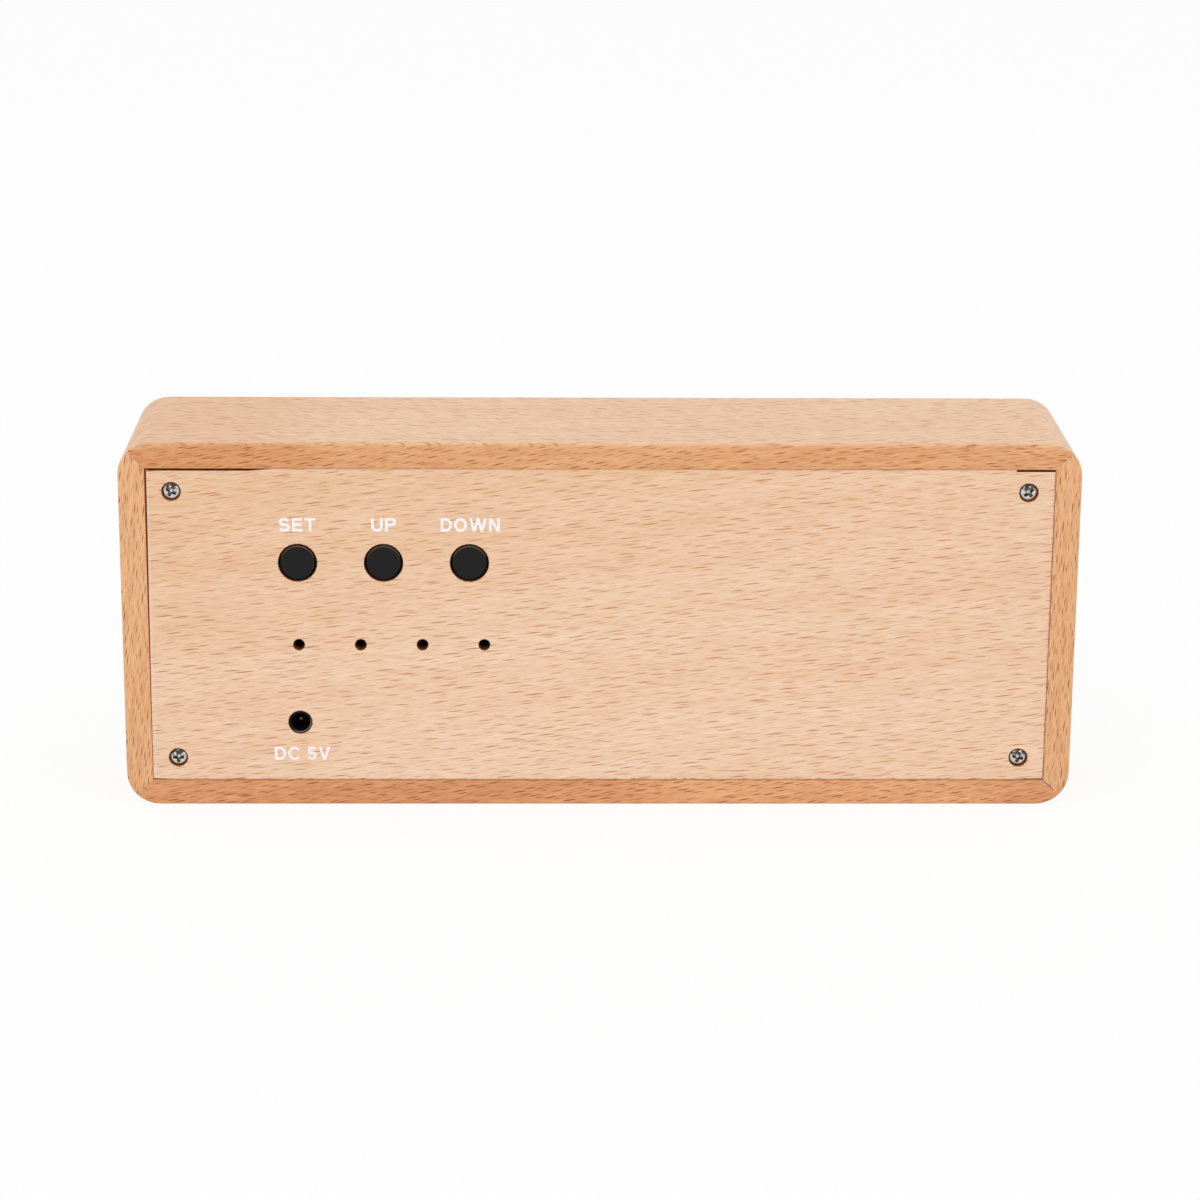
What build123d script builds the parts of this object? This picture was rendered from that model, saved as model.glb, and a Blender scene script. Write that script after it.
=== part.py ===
"""A wooden desk alarm clock: a mitred beech case, a veneered face that hides a
seven-segment display, and a screwed back panel with three push buttons, a row of
sound holes and a round power socket.

Millimetres. X runs to the right as seen from the front, Y runs from the face to the
back, Z is up. The origin is the middle of the base, on the surface it stands on.
"""

from build123d import *
from math import atan, degrees, sqrt
import os

# Case
case_width = 200.0
case_height = 79.0
case_depth = 42.0
board_thickness = 5.5
corner_radius = 7.0
arris_round = 0.5
glue_line = 0.02
panel_recess = 0.2
post_size = 10.0

# Back panel
back_thickness = 3.0
back_gap = 0.06
back_gap_wide = 0.5
back_gap_foot = 0.32
planed_end_long = 27.0
planed_end_short = 8.2
planed_run_out = 5.5
planed_foot_long = 8.0
planed_foot_short = 4.5

# Screws
back_screw_inset_x = 5.5
back_screw_inset_z = 4.95
back_screw_length = 12.0
back_screw_turns = (28.0, 0.0, 52.0, 14.0)
board_screw_length = 5.0
counterbore_clearance = 0.32
counterbore_depth = 1.4
screw_head_diameter = 3.3
screw_head_height = 1.25
screw_head_rim = 0.9
screw_shank_diameter = 1.9
screw_hole_clearance = 0.05
screw_point_length = 2.0
screw_blind_end = 0.3
cross_length = 2.4
cross_width = 0.78
cross_depth = 0.8
cross_taper = 12.0

# Controls on the back panel, placed from the case's right side and from its base
controls_inset = 36.9
button_pitch = 17.9
button_height = 53.25
sound_hole_pitch = 12.95
sound_hole_count = 4
sound_row_drop = 17.85
sound_hole_diameter = 2.4
jack_height = 18.3
jack_hole_diameter = 5.0

# Push buttons
button_hole_diameter = 8.1
button_clearance = 0.2
button_sink = 0.1
button_bevel = 0.25
button_flange_width = 1.1
button_flange_thickness = 0.8
button_flange_gap = 0.1
press_travel = 0.4
press_margin = 0.4

# Switches under the buttons
plunger_diameter = 3.5
plunger_socket_depth = 1.5
plunger_clearance = 0.05
skirt_width = 0.4
skirt_thickness = 0.6
switch_cavity_clearance = 0.25
switch_wall = 0.7
switch_floor = 1.8
switch_cover = 0.5
switch_play = 0.05
dome_thickness = 0.1
dome_flat = 0.6
dome_rim = 0.25
dome_clearance = 0.1

# Circuit boards, and the battens that hold one of them off the back panel
pcb_thickness = 1.6
key_board_rim = 4.2
batten_offset = 8.0
batten_width = 4.4

# Power socket
jack_side = 7.0
jack_fit = 0.15
jack_seat_gap = 0.2
jack_mouth_sink = 0.3
jack_bore_diameter = 3.9
jack_floor_thickness = 1.0
jack_pin_diameter = 1.3
jack_pin_root_diameter = 1.8
jack_pin_fit = 0.03
jack_pin_sink = 2.2
contact_width = 1.8
contact_thickness = 0.3
contact_bulge = 0.3
contact_slot_depth = 0.7
contact_slot_clearance = 0.1
contact_end_gap = 1.0
contact_bend_radius = 0.5

# Buzzer
buzzer_diameter = 12.0
buzzer_wall = 0.8
buzzer_roof = 0.7
buzzer_ledge = 0.6
buzzer_chamber = 1.2
buzzer_port_diameter = 2.4
buzzer_panel_gap = 0.4
buzzer_disc_thickness = 0.3
buzzer_disc_clearance = 0.05

# Face: veneer, diffuser and the mask with the segment windows
veneer_thickness = 0.6
veneer_gap = 0.12
diffuser_thickness = 0.3
mask_depth = 6.0
digit_height = 34.0
digit_width = 18.0
digit_pitch = 26.0
segment_width = 3.6
segment_gap = 0.9
colon_width = 12.0
colon_dot_diameter = 4.0
colon_dot_spacing = 12.0

# Lamps behind the windows
lamp_length = 2.0
lamp_width = 1.25
lamp_height = 0.8
lamp_pocket_clearance = 0.5

# Parts on the back of the display board
chip_length = 10.6
chip_width = 7.5
chip_height = 2.3
chip_leads_a_side = 8
chip_lead_pitch = 1.27
chip_lead_width = 0.42
chip_lead_thickness = 0.25
chip_lead_rise = 1.1
chip_lead_shoulder = 0.6
chip_lead_foot = 0.8
crystal_length = 8.0
crystal_width = 3.8
crystal_height = 2.5
crystal_drop = 10.0
capacitor_diameter = 6.3
capacitor_height = 7.7
capacitor_base_height = 0.9
capacitor_bevel = 0.4
capacitor_rise = 12.5
cell_diameter = 20.0
cell_thickness = 3.2
cell_inset = 43.0
cell_clearance = 0.15
holder_wall = 1.6
holder_floor = 1.0
holder_rim_drop = 0.7
holder_notch_width = 9.0
clip_width = 6.0
clip_thickness = 0.4
clip_foot = 3.0
clip_clearance = 0.15
clip_bend_radius = 0.7

# Ribbon cable between the two boards
ribbon_ways = 8
ribbon_pitch = 1.27
ribbon_thickness = 0.9
ribbon_bend_share = 0.9
socket_wall = 2.2
socket_depth = 6.0
socket_height = 5.0
socket_step = 0.5
socket_base = 2.0
key_socket_height = 27.0
display_socket_height = 46.0

# Depths worked out from the sizes above, from the face to the back
face_y = -case_depth / 2
back_y = case_depth / 2
veneer_front = face_y + panel_recess
veneer_back = veneer_front + veneer_thickness
diffuser_back = veneer_back + diffuser_thickness
mask_back = diffuser_back + mask_depth
display_back = mask_back + pcb_thickness
panel_outer = back_y - panel_recess
panel_inner = panel_outer - back_thickness
counterbore_seat = panel_outer - counterbore_depth
button_face = panel_outer - button_sink
flange_outer = panel_inner - button_flange_gap
flange_inner = flange_outer - button_flange_thickness
plunger_top = flange_inner + plunger_socket_depth
dome_rise = press_travel + dome_thickness
switch_top = flange_inner - press_travel - press_margin
skirt_high = switch_top - switch_cover - switch_play
skirt_low = skirt_high - skirt_thickness
dome_seat = skirt_low - switch_play - dome_rise
key_board_face = dome_seat - switch_floor
key_board_back = key_board_face - pcb_thickness
jack_floor = key_board_face + jack_floor_thickness
jack_shoulder = panel_inner - jack_seat_gap
jack_mouth = panel_outer - jack_mouth_sink
jack_pin_tip = panel_outer - jack_pin_sink
buzzer_top = panel_inner - buzzer_panel_gap

# Widths, heights and places worked out from the sizes above
middle_z = case_height / 2
opening_width = case_width - 2 * board_thickness
opening_height = case_height - 2 * board_thickness
screw_hole_diameter = screw_shank_diameter + 2 * screw_hole_clearance
counterbore_diameter = screw_head_diameter + 2 * counterbore_clearance
button_radius = button_hole_diameter / 2 - button_clearance
flange_radius = button_hole_diameter / 2 + button_flange_width
plunger_radius = plunger_diameter / 2
skirt_radius = plunger_radius + skirt_width
switch_cavity_radius = skirt_radius + switch_cavity_clearance
switch_side = 2 * (switch_cavity_radius + switch_wall)
jack_bore_radius = jack_bore_diameter / 2
holder_radius = cell_diameter / 2 + cell_clearance + holder_wall
ribbon_width = ribbon_ways * ribbon_pitch
socket_width = ribbon_width + 2 * socket_wall

set_x = case_width / 2 - controls_inset
button_places = {"set": set_x, "up": set_x - button_pitch, "down": set_x - 2 * button_pitch}
sound_hole_height = button_height - sound_row_drop
sound_hole_places = [set_x - i * sound_hole_pitch for i in range(sound_hole_count)]
buzzer_x = (sound_hole_places[0] + sound_hole_places[-1]) / 2
cell_x = -opening_width / 2 + cell_inset
batten_places = (button_places["set"] + batten_offset, button_places["down"] - batten_offset)
key_board_width = batten_places[0] - batten_places[1] + 2 * key_board_rim
key_board_height = button_height - jack_height + 2 * key_board_rim
key_board_z = (button_height + jack_height) / 2


def corner_places(half_width, half_height):
    """The four corners of an upright rectangle round the middle of the clock."""
    return [(side * half_width, middle_z + level * half_height)
            for side in (1, -1) for level in (1, -1)]


back_screw_places = corner_places(
    opening_width / 2 - back_screw_inset_x, opening_height / 2 - back_screw_inset_z)


def plane_at(y):
    """The upright plane at one depth, drawn in X and Z."""
    return Plane(origin=(0, y, 0), x_dir=(1, 0, 0), z_dir=(0, -1, 0))


def cross_plane(x):
    """The upright plane from face to back at one width, drawn in Y and Z."""
    return Plane(origin=(x, 0, 0), x_dir=(0, 1, 0), z_dir=(1, 0, 0))


def prism(profile, y_low, y_high):
    """A profile drawn in X and Z, carried along Y."""
    return extrude(plane_at(y_high) * profile, amount=y_high - y_low)


def recess(profile, mouth, floor, angle):
    """A recess along Y whose flat sides lean in from its mouth to its floor."""
    body = prism(profile, min(mouth, floor), max(mouth, floor))
    sides = body.faces().filter_by(Axis.Y, reverse=True)
    return draft(sides, plane_at(mouth), angle if floor < mouth else -angle)


def rod(x, z, diameter, y_low, y_high):
    """A round bar along Y."""
    return prism(Pos(x, z) * Circle(diameter / 2), y_low, y_high)


def spun(x, z, *edges):
    """An outline of radius and depth, turned about a line along Y."""
    return Pos(x, 0, z) * revolve(make_face(edges), Axis.Y)


def strip(path, across, width, thickness):
    """A flat strip of metal or cable that follows a path, its width along one axis."""
    start = Plane(origin=path @ 0, x_dir=across, z_dir=path % 0)
    return sweep(start * Rectangle(width, thickness), path=path)


# The case is one rounded ring of beech, parted at its corners by mitres
def case_boards():
    outline = Pos(0, middle_z) * RectangleRounded(case_width, case_height, corner_radius)
    hollow = Pos(0, middle_z) * Rectangle(opening_width, opening_height)
    solid = prism(outline, face_y, back_y)
    arrises = solid.faces().filter_by(Axis.Y).edges()
    ring = fillet(arrises, arris_round) - prism(hollow, face_y, back_y)

    def board(turn, half_length, inner):
        root = half_length - glue_line / sqrt(2)
        reach = board_thickness + glue_line
        wedge = make_face(Polyline(
            (-root, inner),
            (root, inner),
            (root + reach, inner + reach),
            (-root - reach, inner + reach),
            close=True))
        return ring & prism(Pos(0, middle_z) * Rot(0, 0, turn) * wedge, face_y, back_y)

    across = opening_width / 2
    upright = opening_height / 2
    return {
        "top_board": board(0, across, upright),
        "left_board": board(90, upright, across),
        "bottom_board": board(180, across, upright),
        "right_board": board(270, upright, across),
    }


# Posts in the inner corners hold the display board against the face, and the back
# screws bite into them
def corner_posts():
    centres = corner_places((opening_width - post_size) / 2, (opening_height - post_size) / 2)
    hole_end = counterbore_seat - back_screw_length - screw_blind_end
    posts = []
    for (x, z), (screw_x, screw_z) in zip(centres, back_screw_places):
        square = Pos(x, z) * Rectangle(post_size, post_size)
        post = prism(square, display_back, panel_inner)
        posts.append(post - rod(screw_x, screw_z, screw_hole_diameter, hole_end, panel_inner))
    return Compound(posts)


# The back panel is planed back at both ends of its top edge and at its lower corners,
# which leaves wider gaps there
def back_panel():
    side = opening_width / 2
    top = middle_z + opening_height / 2
    bottom = middle_z - opening_height / 2
    outline = make_face(Polyline(
        (side - planed_foot_short, bottom + back_gap),
        (side - back_gap, bottom + back_gap_foot),
        (side - back_gap_wide, top - back_gap_wide),
        (side - planed_end_long + planed_run_out, top - back_gap_wide),
        (side - planed_end_long, top - back_gap),
        (-side + planed_end_short, top - back_gap),
        (-side + planed_end_short, top - back_gap_wide),
        (-side + back_gap, top - back_gap_wide),
        (-side + back_gap, bottom + back_gap_foot),
        (-side + planed_foot_long, bottom + back_gap),
        close=True))

    def drilled(places, diameter, depth=panel_inner):
        return [rod(x, z, diameter, depth, panel_outer) for x, z in places]

    holes = drilled([(x, button_height) for x in button_places.values()], button_hole_diameter)
    holes += drilled([(x, sound_hole_height) for x in sound_hole_places], sound_hole_diameter)
    holes += drilled([(set_x, jack_height)], jack_hole_diameter)
    holes += drilled(back_screw_places, screw_hole_diameter)
    holes += drilled(back_screw_places, counterbore_diameter, counterbore_seat)
    return prism(outline, panel_inner, panel_outer) - holes


# A pointed screw with a domed head and a cross recess
def back_screw(x, z, turn):
    head = screw_head_diameter / 2
    shank = screw_shank_diameter / 2
    crown = counterbore_seat + screw_head_height
    rim = counterbore_seat + screw_head_rim
    point = counterbore_seat - back_screw_length
    body = spun(
        x, z,
        Polyline(
            (0, crown),
            (0, point),
            (shank, point + screw_point_length),
            (shank, counterbore_seat),
            (head, counterbore_seat),
            (head, rim)),
        TangentArc((0, crown), (head, rim), tangent=(1, 0)))
    for angle in (turn, turn + 90):
        slot = Pos(x, z) * Rot(0, 0, angle) * Rectangle(cross_length, cross_width)
        body -= recess(slot, crown, crown - cross_depth, cross_taper)
    return body


def back_screws():
    return Compound([
        back_screw(x, z, turn) for (x, z), turn in zip(back_screw_places, back_screw_turns)])


# A button cap with the flange that keeps it behind the panel and a socket for the plunger
def button(x):
    socket = plunger_radius + plunger_clearance
    return spun(x, button_height, Polyline(
        (0, button_face),
        (button_radius - button_bevel, button_face),
        (button_radius, button_face - button_bevel),
        (button_radius, flange_outer),
        (flange_radius, flange_outer),
        (flange_radius, flange_inner),
        (socket, flange_inner),
        (socket, plunger_top),
        (0, plunger_top),
        close=True))


def switch_body(x):
    square = Pos(x, button_height) * Rectangle(switch_side, switch_side)
    bore = plunger_diameter + 2 * plunger_clearance
    cavity = 2 * switch_cavity_radius
    return prism(square, key_board_face, switch_top) - [
        rod(x, button_height, bore, dome_seat, switch_top),
        rod(x, button_height, cavity, dome_seat, switch_top - switch_cover),
    ]


def switch_plunger(x):
    skirt = rod(x, button_height, 2 * skirt_radius, skirt_low, skirt_high)
    return skirt + rod(x, button_height, plunger_diameter, skirt_low, plunger_top)


# The snap dome is a thin raised disc that stands on its rim
def switch_dome(x):
    rim = switch_cavity_radius - dome_clearance
    top = dome_seat + dome_rise
    return spun(x, button_height, Polyline(
        (0, top),
        (dome_flat, top),
        (rim, dome_seat),
        (rim - dome_rim, dome_seat),
        (dome_flat, top - dome_thickness),
        (0, top - dome_thickness),
        close=True))


def key_board():
    outline = Pos(sum(batten_places) / 2, key_board_z) * Rectangle(key_board_width, key_board_height)
    holes = [rod(x, key_board_z, screw_hole_diameter, key_board_back, key_board_face)
             for x in batten_places]
    return prism(outline, key_board_back, key_board_face) - holes


# Two battens on the back panel carry the key board, with a screw into each
def key_battens():
    hole_end = key_board_back + board_screw_length + screw_blind_end
    batten = Rectangle(batten_width, key_board_height)
    return Compound([
        prism(Pos(x, key_board_z) * batten, key_board_face, panel_inner)
        - rod(x, key_board_z, screw_hole_diameter, key_board_face, hole_end)
        for x in batten_places])


def key_screws():
    crown = key_board_back - screw_head_height
    return Compound([
        rod(x, key_board_z, screw_head_diameter, crown, key_board_back)
        + rod(x, key_board_z, screw_shank_diameter, crown, key_board_back + board_screw_length)
        for x in batten_places])


# The power socket: a square base, a round nose in the panel, a bore with a slot for the
# spring contact, and a riveted centre pin
def jack_body():
    square = Pos(set_x, jack_height) * Rectangle(jack_side, jack_side)
    nose = jack_hole_diameter - 2 * jack_fit
    body = prism(square, key_board_face, jack_shoulder)
    body += rod(set_x, jack_height, nose, key_board_face, jack_mouth)
    slot_height = jack_bore_radius + contact_slot_depth
    slot = Pos(set_x, jack_height + slot_height / 2) * Rectangle(
        contact_width + 2 * contact_slot_clearance, slot_height)
    return body - [
        rod(set_x, jack_height, jack_bore_diameter, jack_floor, jack_mouth),
        rod(set_x, jack_height, jack_pin_root_diameter + 2 * jack_pin_fit,
            key_board_face, jack_floor),
        prism(slot, jack_floor, jack_shoulder - contact_end_gap),
    ]


def jack_pin():
    radius = jack_pin_diameter / 2
    root = jack_pin_root_diameter / 2
    return spun(
        set_x, jack_height,
        Polyline(
            (0, jack_pin_tip),
            (0, key_board_face),
            (root, key_board_face),
            (root, jack_floor),
            (radius, jack_floor),
            (radius, jack_pin_tip - radius)),
        TangentArc((0, jack_pin_tip), (radius, jack_pin_tip - radius), tangent=(1, 0)))


def jack_contact():
    wall = jack_height + jack_bore_radius + contact_slot_depth - contact_thickness / 2
    touch = jack_height + jack_bore_radius - contact_bulge + contact_thickness / 2
    end = jack_shoulder - contact_end_gap - contact_slot_clearance
    quarter = (end - jack_floor) / 4
    path = cross_plane(set_x) * FilletPolyline(
        (jack_floor, wall),
        (jack_floor + quarter, wall),
        (jack_floor + 3 * quarter, touch),
        (end, (touch + wall) / 2),
        radius=contact_bend_radius)
    return strip(path, (1, 0, 0), contact_width, contact_thickness)


# The buzzer is a turned cup with a port in its roof and a ledge for its disc
def buzzer_case():
    outer = buzzer_diameter / 2
    inner = outer - buzzer_wall
    ledge = inner - buzzer_ledge
    port = buzzer_port_diameter / 2
    ceiling = buzzer_top - buzzer_roof
    seat = ceiling - buzzer_chamber
    return spun(buzzer_x, sound_hole_height, Polyline(
        (outer, key_board_face),
        (outer, buzzer_top),
        (port, buzzer_top),
        (port, ceiling),
        (ledge, ceiling),
        (ledge, seat),
        (inner, seat),
        (inner, key_board_face),
        close=True))


def buzzer_disc():
    seat = buzzer_top - buzzer_roof - buzzer_chamber
    diameter = buzzer_diameter - 2 * (buzzer_wall + buzzer_disc_clearance)
    return rod(buzzer_x, sound_hole_height, diameter, seat - buzzer_disc_thickness, seat)


def face_sheet(y_low, y_high):
    size = (opening_width - 2 * veneer_gap, opening_height - 2 * veneer_gap)
    return prism(Pos(0, middle_z) * Rectangle(*size), y_low, y_high)


# Where each segment of the four digits lies: its place, its length and its turn
def segments():
    pen = digit_width - segment_width
    half = (digit_height - segment_width) / 2
    inner = (digit_pitch + colon_width) / 2
    bars = []
    for digit_x in (-inner - digit_pitch, -inner, inner, inner + digit_pitch):
        for level in (1, 0, -1):
            bars.append((digit_x, middle_z + level * half, pen - segment_gap, 0))
        for side in (-1, 1):
            for level in (1, -1):
                bars.append((digit_x + side * pen / 2, middle_z + level * half / 2,
                             half - segment_gap, 90))
    return bars


def colon_dots():
    return [(0, middle_z + level * colon_dot_spacing / 2) for level in (1, -1)]


def bar_outline(length, width):
    """A bar with pointed ends, the outline of one segment."""
    straight = length / 2 - width / 2
    return make_face(Polyline(
        (-length / 2, 0),
        (-straight, width / 2),
        (straight, width / 2),
        (length / 2, 0),
        (straight, -width / 2),
        (-straight, -width / 2),
        close=True))


# The mask has a funnel for each segment, from its lamp to its outline on the face
def segment_mask():
    flare = segment_width / 2 - lamp_width / 2 - lamp_pocket_clearance
    flare_angle = degrees(atan(flare / mask_depth))
    mouths = [Pos(x, z) * Rot(0, 0, turn) * bar_outline(length, segment_width)
              for x, z, length, turn in segments()]
    mouths += [Pos(x, z) * Circle(colon_dot_diameter / 2) for x, z in colon_dots()]
    funnels = [recess(mouth, diffuser_back, mask_back, flare_angle) for mouth in mouths]
    return face_sheet(diffuser_back, mask_back) - funnels


def segment_leds():
    spots = [(x, z, turn) for x, z, _, turn in segments()]
    spots += [(x, z, 0) for x, z in colon_dots()]
    lamp = Rectangle(lamp_length, lamp_width)
    return Compound([
        prism(Pos(x, z) * Rot(0, 0, turn) * lamp, mask_back - lamp_height, mask_back)
        for x, z, turn in spots])


# The clock chip: a moulded body with a row of bent leads on each long side
def clock_chip():
    square = Pos(0, middle_z) * Rectangle(chip_length, chip_width)
    body = prism(square, display_back + chip_lead_thickness, display_back + chip_height)
    edge = chip_width / 2
    knee = edge + chip_lead_shoulder
    toe = knee + chip_lead_foot
    rise = display_back + chip_lead_rise
    low = display_back + chip_lead_thickness
    outline = make_face(Polyline(
        (rise, edge),
        (rise, knee),
        (display_back, knee),
        (display_back, toe),
        (low, toe),
        (low, knee + chip_lead_thickness),
        (rise + chip_lead_thickness, knee + chip_lead_thickness),
        (rise + chip_lead_thickness, edge),
        close=True))
    lead = extrude(cross_plane(0) * outline, amount=chip_lead_width / 2, both=True)
    first = -(chip_leads_a_side - 1) / 2 * chip_lead_pitch
    leads = []
    for i in range(chip_leads_a_side):
        x = first + i * chip_lead_pitch
        leads.append(Pos(x, 0, middle_z) * lead)
        leads.append(Pos(x, 0, middle_z) * mirror(lead, about=Plane.XY))
    return body + leads


def crystal_can():
    outline = Pos(0, middle_z - crystal_drop) * SlotOverall(crystal_length, crystal_width)
    return prism(outline, display_back, display_back + crystal_height)


# The capacitor: a can on a square base
def filter_capacitor():
    radius = capacitor_diameter / 2
    top = display_back + capacitor_height
    base = display_back + capacitor_base_height
    centre = middle_z + capacitor_rise
    can = spun(0, centre, Polyline(
        (0, base),
        (radius, base),
        (radius, top - capacitor_bevel),
        (radius - capacitor_bevel, top),
        (0, top),
        close=True))
    square = Pos(0, centre) * Rectangle(capacitor_diameter, capacitor_diameter)
    return prism(square, display_back, base) + can


# The standby cell in its holder, under a metal clip
def coin_cell():
    seat = display_back + holder_floor
    return rod(cell_x, middle_z, cell_diameter, seat, seat + cell_thickness)


def cell_holder():
    seat = display_back + holder_floor
    rim = seat + cell_thickness - holder_rim_drop
    bore = cell_diameter + 2 * cell_clearance
    notch = Pos(cell_x, middle_z - holder_radius) * Rectangle(holder_notch_width, holder_radius)
    return rod(cell_x, middle_z, 2 * holder_radius, display_back, rim) - [
        rod(cell_x, middle_z, bore, seat, rim),
        prism(notch, seat, rim),
    ]


def cell_clip():
    leg = holder_radius + clip_clearance + clip_thickness / 2
    foot = display_back + clip_thickness / 2
    bridge = display_back + holder_floor + cell_thickness + clip_thickness / 2
    path = Pos(cell_x, 0, middle_z) * FilletPolyline(
        (-leg - clip_foot, foot),
        (-leg, foot),
        (-leg, bridge),
        (leg, bridge),
        (leg, foot),
        (leg + clip_foot, foot),
        radius=clip_bend_radius)
    return strip(path, (0, 0, 1), clip_width, clip_thickness)


# A socket stands on its board, towards the other board where facing is 1 or -1
def ribbon_socket(z, seat, facing):
    step = seat + facing * socket_base
    end = seat + facing * socket_depth
    base = Pos(buzzer_x, z) * Rectangle(socket_width, socket_height)
    plug = Pos(buzzer_x, z) * Rectangle(socket_width - 2 * socket_step, socket_height - 2 * socket_step)
    return prism(base, min(seat, step), max(seat, step)) + prism(plug, min(step, end), max(step, end))


def ribbon_cable():
    near = display_back + socket_depth
    far = key_board_back - socket_depth
    turn = (near + far) / 2
    path = cross_plane(buzzer_x) * FilletPolyline(
        (near, display_socket_height),
        (turn, display_socket_height),
        (turn, key_socket_height),
        (far, key_socket_height),
        radius=ribbon_bend_share * (turn - near))
    return strip(path, (1, 0, 0), ribbon_width, ribbon_thickness)


nodes = case_boards()
nodes["corner_posts"] = corner_posts()
nodes["back_panel"] = back_panel()
nodes["back_screws"] = back_screws()
nodes["front_veneer"] = face_sheet(veneer_front, veneer_back)
nodes["diffuser_sheet"] = face_sheet(veneer_back, diffuser_back)
nodes["segment_mask"] = segment_mask()
nodes["segment_leds"] = segment_leds()
nodes["display_board"] = face_sheet(mask_back, display_back)
nodes["clock_chip"] = clock_chip()
nodes["crystal_can"] = crystal_can()
nodes["filter_capacitor"] = filter_capacitor()
nodes["cell_holder"] = cell_holder()
nodes["coin_cell"] = coin_cell()
nodes["cell_clip"] = cell_clip()
nodes["display_socket"] = ribbon_socket(display_socket_height, display_back, 1)
nodes["key_socket"] = ribbon_socket(key_socket_height, key_board_back, -1)
nodes["ribbon_cable"] = ribbon_cable()
nodes["key_board"] = key_board()
nodes["key_battens"] = key_battens()
nodes["key_screws"] = key_screws()
nodes["jack_body"] = jack_body()
nodes["jack_pin"] = jack_pin()
nodes["jack_contact"] = jack_contact()
nodes["buzzer_case"] = buzzer_case()
nodes["buzzer_disc"] = buzzer_disc()
for name, place in button_places.items():
    nodes[f"{name}_button"] = button(place)
    nodes[f"{name}_plunger"] = switch_plunger(place)
    nodes[f"{name}_dome"] = switch_dome(place)
    nodes[f"{name}_switch"] = switch_body(place)

os.makedirs("parts", exist_ok=True)
for name, shape in nodes.items():
    export_step(shape, f"parts/{name}.step")
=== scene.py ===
from math import cos, pi, radians, sin

import bmesh
import bpy
from mathutils import Matrix, Vector
from mathutils.geometry import delaunay_2d_cdt, intersect_point_quad_2d


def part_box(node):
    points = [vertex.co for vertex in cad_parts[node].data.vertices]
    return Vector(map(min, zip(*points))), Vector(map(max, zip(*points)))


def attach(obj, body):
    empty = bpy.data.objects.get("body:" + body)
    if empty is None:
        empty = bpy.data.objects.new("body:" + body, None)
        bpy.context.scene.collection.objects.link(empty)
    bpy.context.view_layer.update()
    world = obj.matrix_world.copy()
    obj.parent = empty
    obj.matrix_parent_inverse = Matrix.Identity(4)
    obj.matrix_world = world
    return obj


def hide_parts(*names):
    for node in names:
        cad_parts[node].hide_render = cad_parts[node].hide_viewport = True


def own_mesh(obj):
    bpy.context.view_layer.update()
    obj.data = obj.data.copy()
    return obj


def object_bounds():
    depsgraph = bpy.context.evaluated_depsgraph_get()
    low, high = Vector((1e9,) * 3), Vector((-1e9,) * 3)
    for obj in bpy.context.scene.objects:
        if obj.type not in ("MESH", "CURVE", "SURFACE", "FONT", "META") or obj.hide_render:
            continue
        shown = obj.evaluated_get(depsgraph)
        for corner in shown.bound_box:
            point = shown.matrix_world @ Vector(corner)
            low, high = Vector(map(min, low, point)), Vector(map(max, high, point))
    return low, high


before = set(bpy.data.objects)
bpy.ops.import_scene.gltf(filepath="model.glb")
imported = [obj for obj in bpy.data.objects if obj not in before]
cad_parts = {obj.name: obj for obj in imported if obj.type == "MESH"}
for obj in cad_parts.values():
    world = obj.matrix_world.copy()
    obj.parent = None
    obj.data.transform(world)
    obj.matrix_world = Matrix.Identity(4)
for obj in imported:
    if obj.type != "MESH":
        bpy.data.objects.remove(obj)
cad_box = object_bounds()


# The case is four beech boards, mitred at the corners, glued and then rounded and sanded.
# The outer faces are flat-sawn and pale. The sawn edges that frame the back are darker,
# with thicker rays.


def linear(red, green, blue):
    """A colour as it reads on a screen, in the light values that a shader takes."""
    def level(value):
        share = value / 255
        return share / 12.92 if share <= 0.04045 else ((share + 0.055) / 1.055) ** 2.4
    return (level(red), level(green), level(blue), 1.0)


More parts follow.
